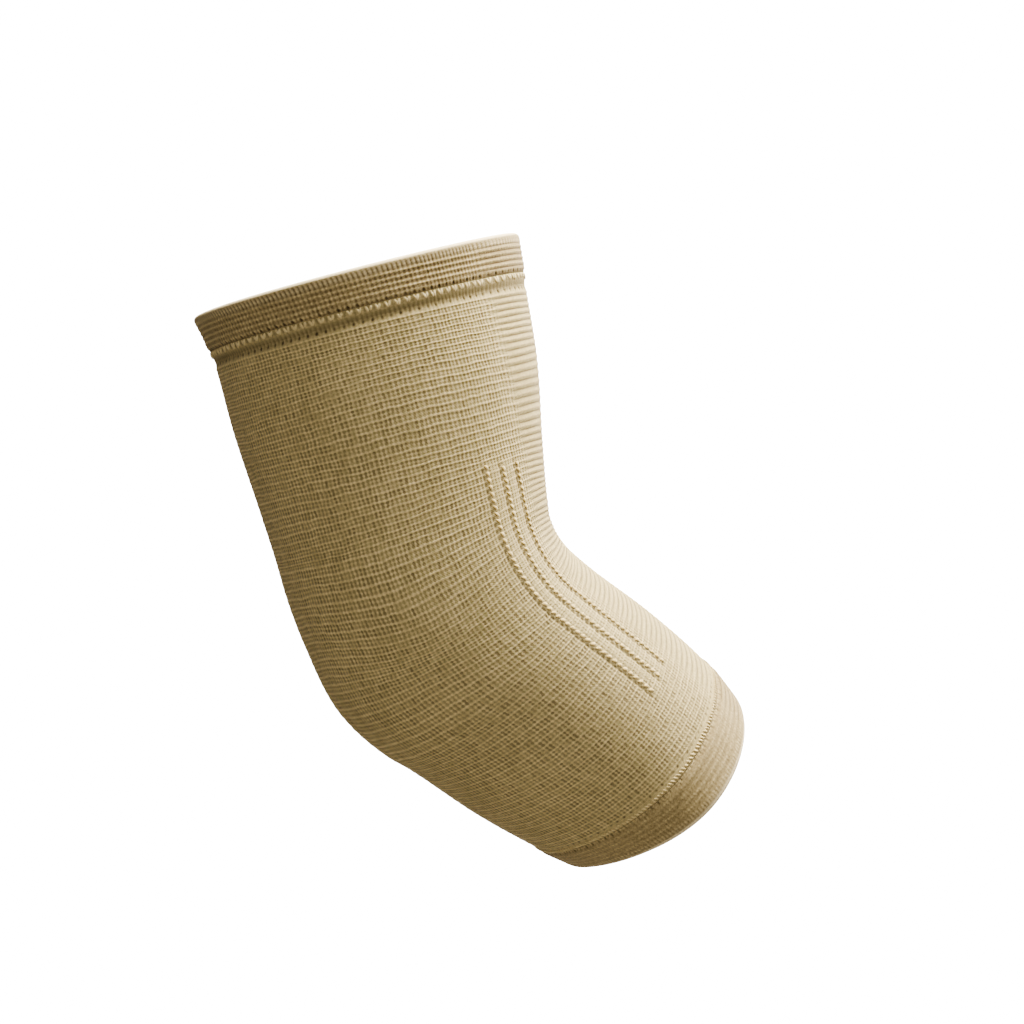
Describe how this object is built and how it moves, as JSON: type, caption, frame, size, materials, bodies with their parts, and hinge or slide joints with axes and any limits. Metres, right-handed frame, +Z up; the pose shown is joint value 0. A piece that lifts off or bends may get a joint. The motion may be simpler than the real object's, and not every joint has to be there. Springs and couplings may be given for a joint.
{
  "type": "elbow brace",
  "caption": "Pull-on elbow sleeve of ribbed elastic knit, bent as worn, with a doubled and sewn hem at each opening and raised ribs beside the crook.",
  "frame": {"origin": "on the sleeve's centreline, in the middle of the bend, where the elbow sits inside it", "axes": "+Z up, with the upper opening above and leaning back; +X forward, the way the lower opening points; Y across, with both halves alike"},
  "size_m": [0.1803, 0.101, 0.1983],
  "materials": {
    "rib_knit": "matte elastic rib knit in beige cotton and covered elastic, in even courses",
    "upper_hem_knit": "matte beige knit, folded to double thickness and sewn",
    "lower_hem_knit": "matte beige knit, folded to double thickness and sewn"
  },
  "bodies": {
    "root": {"sleeve_tube": "rib_knit", "upper_hem": "upper_hem_knit", "lower_hem": "lower_hem_knit"}
  },
  "joints": []
}
